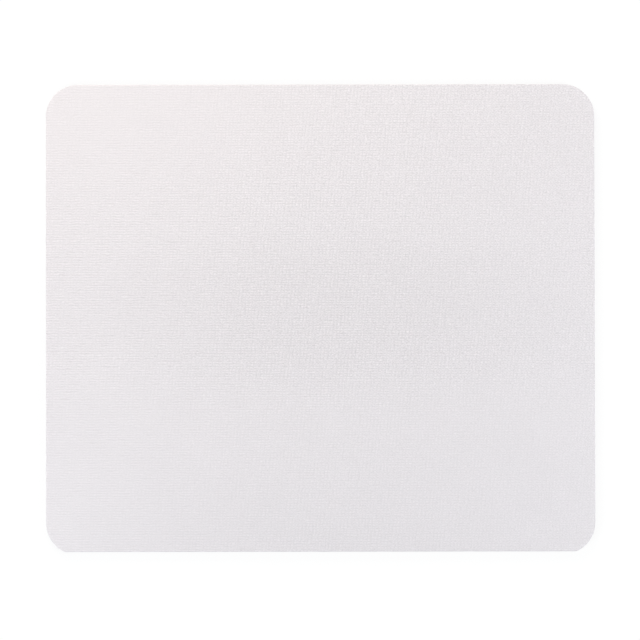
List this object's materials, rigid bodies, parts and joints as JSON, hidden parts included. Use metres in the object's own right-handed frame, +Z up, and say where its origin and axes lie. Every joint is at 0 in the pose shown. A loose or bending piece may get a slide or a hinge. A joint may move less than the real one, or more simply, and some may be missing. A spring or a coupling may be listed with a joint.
{
  "type": "mouse pad",
  "caption": "Flat rectangular cloth mouse pad with rounded corners: white woven working face bonded to a black sponge rubber core on a wave-embossed non-slip rubber sole.",
  "frame": {"origin": "on the desk plane, at the middle of the pad's outline", "axes": "+X along the long side to the user's right, +Y away from the user, +Z up out of the cloth"},
  "size_m": [0.235, 0.2, 0.003],
  "materials": {
    "polyester_cloth": "matte white woven polyester",
    "hot_melt_film": "satin, off-white, seen only as a line at the cut edge",
    "sponge_rubber": "matte black with open pores on the cut side",
    "sole_rubber": "matte black, embossed"
  },
  "bodies": {
    "root": {"cloth_top": "polyester_cloth", "bond_film": "hot_melt_film", "foam_core": "sponge_rubber", "grip_sole": "sole_rubber"}
  },
  "joints": []
}
